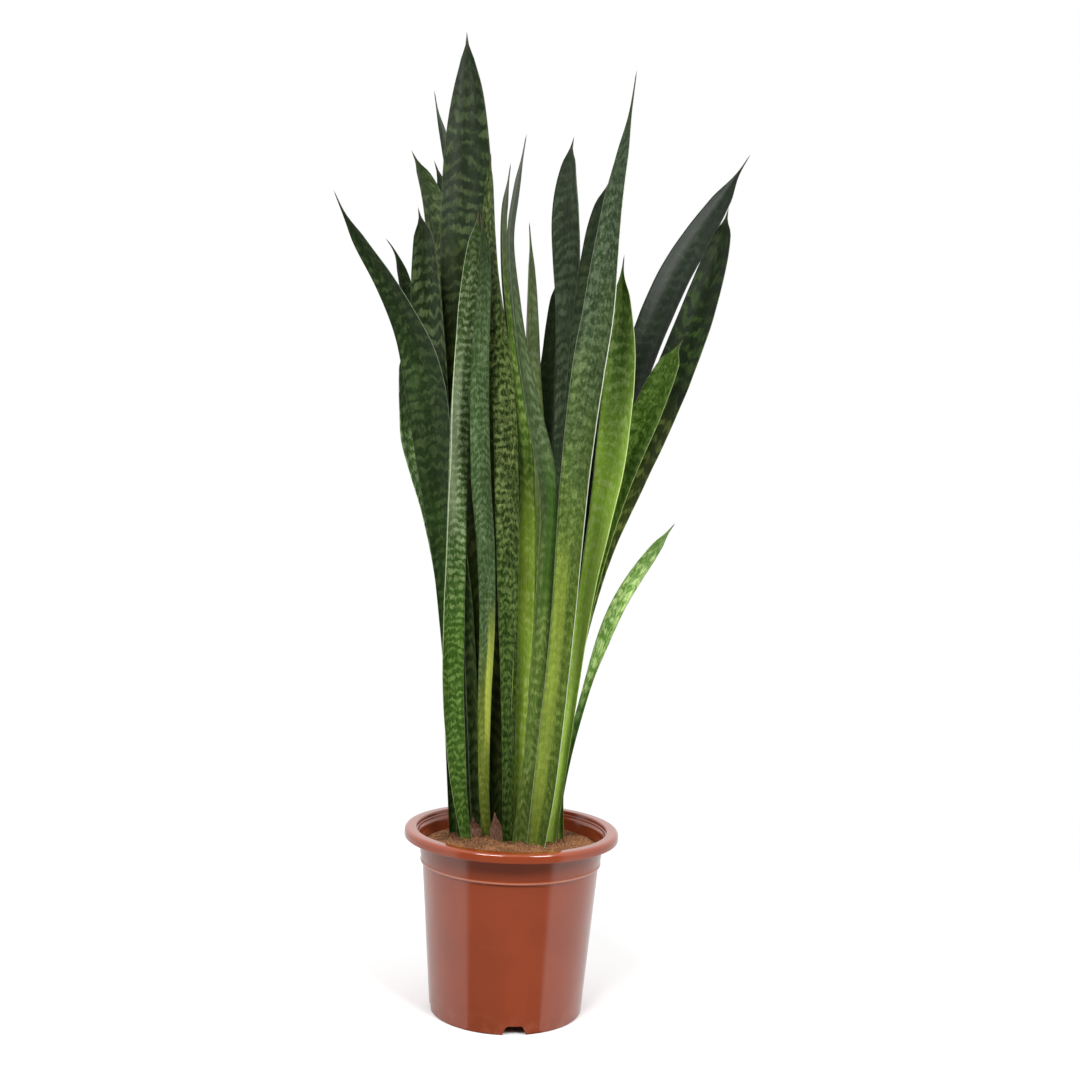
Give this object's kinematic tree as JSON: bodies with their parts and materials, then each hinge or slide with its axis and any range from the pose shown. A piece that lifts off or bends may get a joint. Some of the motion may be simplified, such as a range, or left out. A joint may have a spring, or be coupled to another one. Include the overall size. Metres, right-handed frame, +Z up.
{
  "type": "potted snake plant",
  "caption": "Tall snake plant with upright banded sword leaves, growing in soil in a round tapered flower pot with a rolled rim and drainage notches.",
  "frame": {"origin": "middle of the pot's underside, on the surface that it stands on", "axes": "+Z up along the leaves, +X to the right and +Y to the back as the plant is seen from its front"},
  "size_m": [0.478, 0.3009, 1.101],
  "materials": {
    "pot_plastic": "satin",
    "soil_mix": "matte",
    "root_stock": "matte",
    "dry_scale": "matte",
    "leaf_dark": "satin",
    "leaf_grey": "satin",
    "leaf_mid": "satin",
    "leaf_bright": "satin"
  },
  "bodies": {
    "root": {"pot": "pot_plastic", "soil": "soil_mix", "rhizome": "root_stock", "leaf_front_right_tall": "leaf_grey", "leaf_front_leaning_left": "leaf_mid", "leaf_front_grey": "leaf_grey", "leaf_front_left_pale": "leaf_mid", "leaf_centre_mottled": "leaf_mid", "leaf_centre_bright": "leaf_bright", "leaf_right_behind_tall": "leaf_grey", "leaf_right_lime": "leaf_bright", "leaf_right_small": "leaf_bright", "leaf_right_bright": "leaf_bright", "leaf_left_arching": "leaf_dark", "leaf_centre_slim": "leaf_mid", "leaf_left_chevron": "leaf_dark", "leaf_left_bright": "leaf_bright", "leaf_tallest_broad": "leaf_dark", "leaf_right_twin_front": "leaf_grey", "leaf_right_shaded": "leaf_dark", "leaf_right_banded": "leaf_dark", "leaf_left_low": "leaf_dark", "leaf_right_twin_back": "leaf_dark", "leaf_back_left_mottled": "leaf_bright", "leaf_back_right_slanting": "leaf_dark", "leaf_back_left_thin": "leaf_mid", "leaf_back_small_tip": "leaf_grey", "leaf_back_edge_on": "leaf_grey", "basal_scale_left": "dry_scale", "basal_scale_centre": "dry_scale"}
  },
  "joints": []
}
